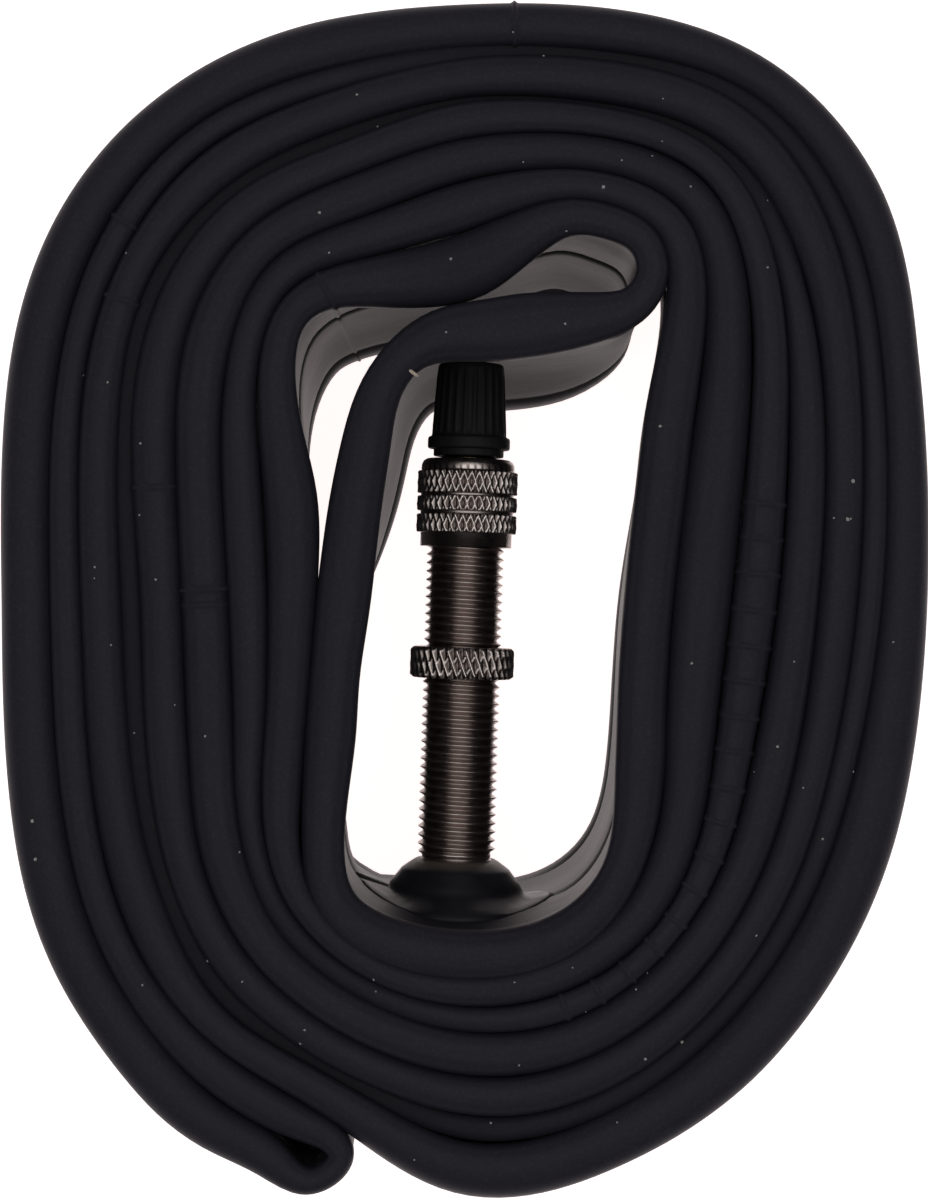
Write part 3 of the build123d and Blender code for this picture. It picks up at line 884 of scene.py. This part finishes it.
cap_outer = [
    (2.65, 40.3), (3.45, 40.3), (3.5, 40.4), (3.5, 40.98), (4.02, 41.06), (4.1, 41.2), (4.1, 42.0),
    (4.02, 42.18), (3.75, 42.3), (3.68, 42.6), (3.3, 49.1), (3.2, 49.42), (3.0, 49.56), (2.6, 49.6),
]  # fmt: skip
cap_inside = [np.array((0, 47.2)), np.array((2.65, 47.2))]
cap_outline = cap_inside + eased(cap_outer, 0.05, closed=False) + [np.array((0, 49.6))]
cap_outline = filled(cap_outline, 0.5, 42.2, 49.1, closed=False)
cap = turned("cap_shell", cap_outline, CAP_RIBS * 12, cap_relief, closed=False)
cap.data.materials.append(plastic_paint())
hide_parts("dust_cap")
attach(cap, "cap")

# ---- rubber base: a lipped dome whose skirt lies on the tube's wall ----
by_base = by_seat & (np.abs(centre[:, 0]) < 15)
face_line = centre[by_base] + side[by_base] * WEB_HALF * np.sign(side[by_base][:, 1:2])
order = np.argsort(face_line[:, 0])
face_x, face_y = face_line[order, 0], face_line[order, 1]
face_swing = s_swing[by_base][order]

BASE_PROFILE = [
    (3.5, 0.2), (3.95, 0.15), (4.3, -0.05), (4.8, -0.4), (5.15, -0.65), (5.35, -0.8),
    (5.48, -0.95), (5.62, -1.15), (5.9, -1.5), (6.2, -1.88), (6.4, -2.16), (6.5, -2.35),
    (6.62, -2.6), (6.8, -2.85), (7.1, -3.1), (7.6, -3.4), (8.3, -3.8), (9.1, -4.2), (10.0, -4.6),
]  # fmt: skip
SEGMENTS = 112
SKIN, BURIED = 0.12, 0.25  # the skirt's height over the wall, and its rim's depth in it


def wall_at(x, z):
    """Y of the tube's wall under the base."""
    face = float(np.interp(x, face_x, face_y))
    face += float(np.interp(x, face_x, face_swing)) * float(smooth((SWING_TOP - z) / SWING_TOP))
    rise = np.exp(-((x / PAD_WIDE) ** 4)) * np.exp(-(((z - VALVE_Z) / PAD_TALL) ** 2))
    return face + PAD_RISE * rise


def base_ring(r, v):
    """Ring of the base at radius r and station v, over the wall; in the wall where v is None."""
    ring = []
    for j in range(SEGMENTS):
        t = 2 * pi * j / SEGMENTS
        x, z = r * cos(t), VALVE_Z + r * sin(t)
        wall = wall_at(x, z)
        ring.append((x, wall - BURIED if v is None else max(VALVE_Y + v, wall + SKIN), z))
    return ring


base_rings = [*BASE_PROFILE[:-1], (BASE_PROFILE[-1][0], None), (BASE_PROFILE[0][0], None)]
base_points = [point for r, v in base_rings for point in base_ring(r, v)]
base = add_mesh("base_dome", base_points, ring_faces(len(base_rings), SEGMENTS, True))
# painted sheen: the dome's top, inside radius 5.3 mm, is painted light as its highlight band
painted_sheen = [float(smooth((5.3 - r) / 0.9)) for r, _ in BASE_PROFILE for _ in range(SEGMENTS)]
add_attribute(base, "painted_sheen", painted_sheen + [0.0] * SEGMENTS)
base.data.materials.append(moulded_paint())
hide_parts("valve_base")
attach(base, "roll")

# ---- dust on the rubber: pale flecks and one short fibre, laid on the skin ----
skin = BVHTree.FromPolygons([Vector(p) for p in points.tolist()], faces)


FLECKS = [
    (35.0, 9.1, 0.30), (35.4, 12.6, 0.26), (21.1, -4.6, 0.22), (11.6, 38.9, 0.24),
    (18.0, -41.1, 0.24), (21.4, -39.6, 0.22), (-2.2, 31.9, 0.2), (-11.3, 46.7, 0.2),
    (-14.4, 35.7, 0.22), (17.5, 17.1, 0.24), (-39.0, -21.0, 0.26), (-38.6, -24.5, 0.24),
    (8.5, 26.2, 0.18), (-2.4, 25.1, 0.16), (29.2, -12.0, 0.18), (-30.2, 14.0, 0.18),
    (-22.6, -33.5, 0.2), (4.0, -47.6, 0.2), (33.7, -20.4, 0.18), (-34.0, 2.5, 0.16),
]  # fmt: skip
MORE_FLECKS, FLECK_SIDES, LOWEST_FLECK = 46, 6, 38
FLECK_LEVELS = ((-0.15, 0.8), (0.35, 1.0), (0.7, 0.5))  # share of its height, share of its width
DROP_FROM = 60
for _ in range(MORE_FLECKS):
    ray, r = rng.uniform(0, 2 * pi), rng.uniform(0.62, 1.0)
    FLECKS.append((40 * r * cos(ray), 53 * r * sin(ray), rng.uniform(0.11, 0.17)))
fleck_points, fleck_faces = [], []
for x, y, size in FLECKS:
    hit = skin.ray_cast(Vector((x, y, DROP_FROM)), Vector((0, 0, -1)))[0]
    if hit is None or hit.z < LOWEST_FLECK:
        continue
    start = len(fleck_points)
    for level, spread in FLECK_LEVELS:
        for j in range(FLECK_SIDES):
            t = 2 * pi * j / FLECK_SIDES + rng.uniform(-0.3, 0.3)
            r = size * spread * rng.uniform(0.7, 1.25) * 0.7
            fleck_points.append((x + r * cos(t), y + r * sin(t), hit.z + level * size * 0.5))
    end = len(fleck_points)
    for face in ring_faces(len(FLECK_LEVELS), FLECK_SIDES, False):
        fleck_faces.append(tuple(start + i for i in face))
    fleck_faces.append(tuple(range(end - FLECK_SIDES, end)))
    fleck_faces.append(tuple(range(start + FLECK_SIDES - 1, start - 1, -1)))
flecks = add_mesh("dust_flecks", fleck_points, fleck_faces)
flecks.data.materials.append(speck_paint("pale_dust", (0.42, 0.42, 0.40), (0.22, 0.22, 0.21)))
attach(flecks, "roll")

FIBRE = [(-6.0, 21.85), (-5.75, 21.6), (-5.45, 21.4), (-5.1, 21.15), (-4.85, 21.05)]
FIBRE_SIDES, FIBRE_R, FIBRE_TIP_R = 8, 0.17, 0.08
FIBRE_Z, FIBRE_FALL = 39.35, 0.12  # its first point's height, and the drop from point to point
fibre_points = []
for k, (x, y) in enumerate(FIBRE):
    r = FIBRE_R if 0 < k < len(FIBRE) - 1 else FIBRE_TIP_R
    for j in range(FIBRE_SIDES):
        t = 2 * pi * j / FIBRE_SIDES
        z = FIBRE_Z - FIBRE_FALL * k + r * sin(t)
        fibre_points.append((x + 0.5 * r * cos(t), y + 0.85 * r * cos(t), z))
fibre_faces = ring_faces(len(FIBRE), FIBRE_SIDES, False)
fibre_faces.append(tuple(range(FIBRE_SIDES - 1, -1, -1)))
fibre_faces.append(tuple(range(len(fibre_points) - FIBRE_SIDES, len(fibre_points))))
fibre = add_mesh("pale_fibre", fibre_points, fibre_faces)
fibre.data.materials.append(speck_paint("fibre_straw", (0.62, 0.52, 0.42), (0.45, 0.36, 0.28)))
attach(fibre, "roll")

# ---- check spring: a coil of wire at one fixed length; the real one shortens as the plunger is pressed ----
COIL_LO, COIL_TALL, COIL_R, WIRE_R, COIL_TURNS = 28.18, 6.44, 1.225, 0.16, 6
COIL_ROWS, WIRE_SIDES = 24 * COIL_TURNS, 10
coil_points = []
for k in range(COIL_ROWS + 1):
    t = k / COIL_ROWS
    a = 2 * pi * COIL_TURNS * t
    for j in range(WIRE_SIDES):
        b = 2 * pi * j / WIRE_SIDES
        r = COIL_R + WIRE_R * cos(b)
        y = VALVE_Y + COIL_LO + COIL_TALL * t + WIRE_R * sin(b)
        coil_points.append((r * cos(a), y, VALVE_Z + r * sin(a)))
coil_faces = [f[::-1] for f in ring_faces(COIL_ROWS + 1, WIRE_SIDES, False)]
coil_faces.append(tuple(range(WIRE_SIDES)))
coil_faces.append(tuple(range(len(coil_points) - 1, len(coil_points) - WIRE_SIDES - 1, -1)))
coil = add_mesh("spring_coil", coil_points, coil_faces)
wire_paint = turned_paint("spring_steel", (0.5, 0.49, 0.47), (0.36, 0.35, 0.34), 0.28)
coil.data.materials.append(wire_paint)
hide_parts("check_spring")
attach(coil, "roll")
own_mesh(coil)

# ---- the inner parts of the valve keep their CAD shapes ----
brass = turned_paint("core_brass", (0.52, 0.40, 0.22), (0.36, 0.27, 0.15), 0.3)
for node, paint in (
    ("core_body", brass),
    ("core_plug", brass),
    ("check_plunger", brass),
    ("core_seal", seal_paint()),
):
    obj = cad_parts[node]
    if not obj.material_slots:
        obj.data.materials.append(paint)
    for place in obj.material_slots:
        place.material = paint

# ---- stage, light and camera ----
scene = bpy.context.scene
scene.view_settings.view_transform = "Standard"
scene.view_settings.look = "None"

FLOOR_HALF, FLOOR_Z = 3000, -0.02
corners = ((-1, -1), (1, -1), (1, 1), (-1, 1))
floor_points = [(FLOOR_HALF * x, FLOOR_HALF * y, FLOOR_Z) for x, y in corners]
floor = add_mesh("floor", floor_points, [(0, 1, 2, 3)])
ground = Paint("light_table")
cloud = ground.noise(ground.place((0.02, 0.02, 0.02)), 1.0, 2)
tint = ground.mix(cloud, (0.86, 0.86, 0.865), (0.88, 0.88, 0.88))
ground.finish(tint, 0.9, specular=0.0)
ground.bsdf.inputs["Emission Color"].default_value = (1, 0.885, 0.865, 1)
ground.bsdf.inputs["Emission Strength"].default_value = 1.06
floor.data.materials.append(ground.mat)

world = bpy.data.worlds.new("studio")
scene.world = world
world.use_nodes = True
sky = world.node_tree
back = sky.nodes["Background"]
where = sky.nodes.new("ShaderNodeTexCoord")
split = sky.nodes.new("ShaderNodeSeparateXYZ")
fade = sky.nodes.new("ShaderNodeValToRGB")
for element, (at, grey) in zip(fade.color_ramp.elements, ((0.16, 0.86), (0.45, 0.15))):
    element.position = at
    element.color = (grey, grey, grey * 1.03, 1)
sky.links.new(where.outputs["Generated"], split.inputs["Vector"])
sky.links.new(split.outputs["Z"], fade.inputs["Fac"])
sky.links.new(fade.outputs["Color"], back.inputs["Color"])


def soft_light(name, place, aim, size, radiance):
    """Round soft light of one radiance, whatever its size."""
    light = bpy.data.lights.new(name, "AREA")
    light.shape = "DISK"
    light.size = size
    light.energy = radiance * pi * pi * size * size / 4
    obj = bpy.data.objects.new(name, light)
    obj.location = place
    obj.rotation_mode = "QUATERNION"
    obj.rotation_quaternion = (Vector(aim) - Vector(place)).to_track_quat("-Z", "Y")
    scene.collection.objects.link(obj)


soft_light("overhead", (0.03, 0.05, 1.0), (0, 0, 0.02), 1.25, 1.0)

SENSOR, FOCAL_PIXELS, IMAGE_HEIGHT = 36.0, 2473, 1200
CAMERA_HEIGHT, CAMERA_ROLL = 0.267, 1.81
camera = bpy.data.cameras.new("camera")
camera.sensor_width = SENSOR
camera.lens = SENSOR * FOCAL_PIXELS / IMAGE_HEIGHT
camera.clip_start = 0.01
view = bpy.data.objects.new("camera", camera)
view.location = (0, ROLL_CY * MM, CAMERA_HEIGHT)
view.rotation_euler = (0, 0, radians(CAMERA_ROLL))
scene.collection.objects.link(view)
scene.camera = view
